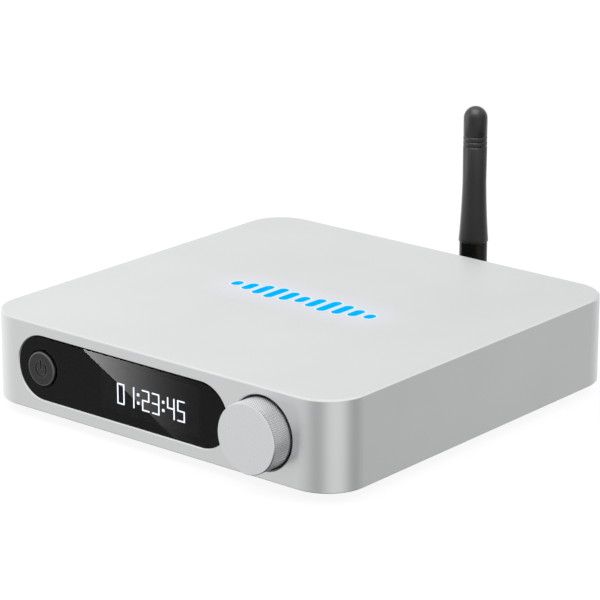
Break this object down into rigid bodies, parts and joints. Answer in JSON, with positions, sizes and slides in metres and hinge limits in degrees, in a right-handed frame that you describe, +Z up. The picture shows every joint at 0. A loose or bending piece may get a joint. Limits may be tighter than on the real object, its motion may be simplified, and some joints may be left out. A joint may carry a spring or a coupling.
{
  "type": "network music streamer",
  "caption": "Small square aluminium audio streamer with a black front window, power button, knurled knob, lit inlay on top and a folding stub antenna at the back.",
  "frame": {"origin": "middle of the overall box at the level of the feet's soles, on the floor", "axes": "+Z up, the front with its window and knob faces -Y, the jacks and antenna are at +Y"},
  "size_m": [0.12, 0.1466, 0.0656],
  "materials": {
    "shell_aluminium": "fine blasted and anodised, satin, polished chamfers",
    "knob_aluminium": "satin face, fine diamond knurl round the side",
    "button_aluminium": "dark anodised, spun face with an engraved power sign",
    "lens_smoke": "clear smoked, high gloss",
    "inlay_blue": "clear light guide, lit blue from below",
    "digit_light": "lit characters",
    "display_black": "black display glass, gloss",
    "moulded_black": "fine moulded texture",
    "base_steel": "black powder coat",
    "foot_rubber": "matte rubber",
    "screw_steel": "zinc-plated steel",
    "screw_black": "black oxide steel",
    "board_green": "solder mask over glass fibre",
    "chip_black": "moulded chip package",
    "diode_yellow": "light diode",
    "can_metal": "stamped metal can",
    "sleeve_dark": "shrink sleeve",
    "cable_grey": "flat cable",
    "jack_white": "moulded jack, left channel",
    "jack_red": "moulded jack, right channel",
    "jack_orange": "moulded jack, digital output",
    "jack_gold": "gold-plated",
    "shield_nickel": "nickel-plated sheet",
    "antenna_gloss": "black gloss",
    "antenna_boot": "satin rubbery boot"
  },
  "bodies": {
    "case": {"top_shell": "shell_aluminium", "base_plate": "base_steel", "feet": "foot_rubber", "base_screws": "screw_black", "rear_panel": "base_steel", "rear_screws": "screw_black", "light_guide": "inlay_blue", "light_board": "board_green", "light_diodes": "diode_yellow", "light_screws": "screw_steel", "light_cable": "cable_grey", "front_lens": "lens_smoke", "front_carrier": "moulded_black", "display_module": "display_black", "display_digits": "digit_light", "front_board": "board_green", "front_screws": "screw_steel", "switch_housing": "moulded_black", "encoder_body": "can_metal", "encoder_nut": "shield_nickel", "main_board": "board_green", "board_standoffs": "screw_steel", "board_screws": "screw_steel", "processor": "chip_black", "wireless_module": "can_metal", "converter_chip": "chip_black", "capacitors": "sleeve_dark", "ribbon_cable": "cable_grey", "ribbon_sockets": "jack_white", "optical_housing": "moulded_black", "optical_emitter": "chip_black", "network_shield": "shield_nickel", "network_insert": "moulded_black", "inlet_shell": "shield_nickel", "inlet_tongue": "moulded_black", "antenna_jack": "jack_gold", "antenna_jack_nut": "jack_gold", "antenna_lead": "moulded_black", "antenna_coupling": "antenna_gloss", "coaxial_housing": "moulded_black", "line_left_housing": "moulded_black", "line_right_housing": "moulded_black", "coaxial_barrel": "jack_gold", "line_left_barrel": "jack_gold", "line_right_barrel": "jack_gold", "coaxial_insert": "jack_orange", "line_left_insert": "jack_white", "line_right_insert": "jack_red"},
    "button": {"power_button": "button_aluminium", "switch_plunger": "moulded_black"},
    "knob_press": {"encoder_pusher": "moulded_black"},
    "knob": {"control_knob": "knob_aluminium", "encoder_shaft": "can_metal"},
    "swivel": {"antenna_swivel": "antenna_gloss"},
    "antenna": {"antenna_barrel": "antenna_gloss", "antenna_hinge_pin": "antenna_gloss", "antenna_boot": "antenna_boot", "antenna_radiator": "jack_gold"},
    "shutter": {"optical_shutter": "moulded_black"}
  },
  "joints": [
    {"name": "power_push", "type": "slide", "parent": "case", "child": "button", "axis": [0, 1, 0], "range_m": [0, 0.0005], "stiffness_N_per_m": 400, "springref_m": -0.001},
    {"name": "knob_push", "type": "slide", "parent": "case", "child": "knob_press", "axis": [0, 1, 0], "range_m": [0, 0.0005], "stiffness_N_per_m": 800, "springref_m": -0.002},
    {"name": "knob_turn", "type": "hinge", "parent": "knob_press", "child": "knob", "pos_m": [0.037, -0.06584, 0.0149], "axis": [0, 1, 0], "continuous": true},
    {"name": "antenna_turn", "type": "hinge", "parent": "case", "child": "swivel", "pos_m": [0, 0.06156, 0.0149], "axis": [0, 1, 0], "continuous": true},
    {"name": "antenna_fold", "type": "hinge", "parent": "swivel", "child": "antenna", "pos_m": [0, 0.06906, 0.0149], "axis": [-1, 0, 0], "range_deg": [0, 90]},
    {"name": "shutter_swing", "type": "hinge", "parent": "case", "child": "shutter", "pos_m": [-0.01057, 0.05126, 0.0184], "axis": [-1, 0, 0], "range_deg": [0, 90], "stiffness_Nm_per_rad": 0.0001, "springref_deg": -28.65}
  ]
}
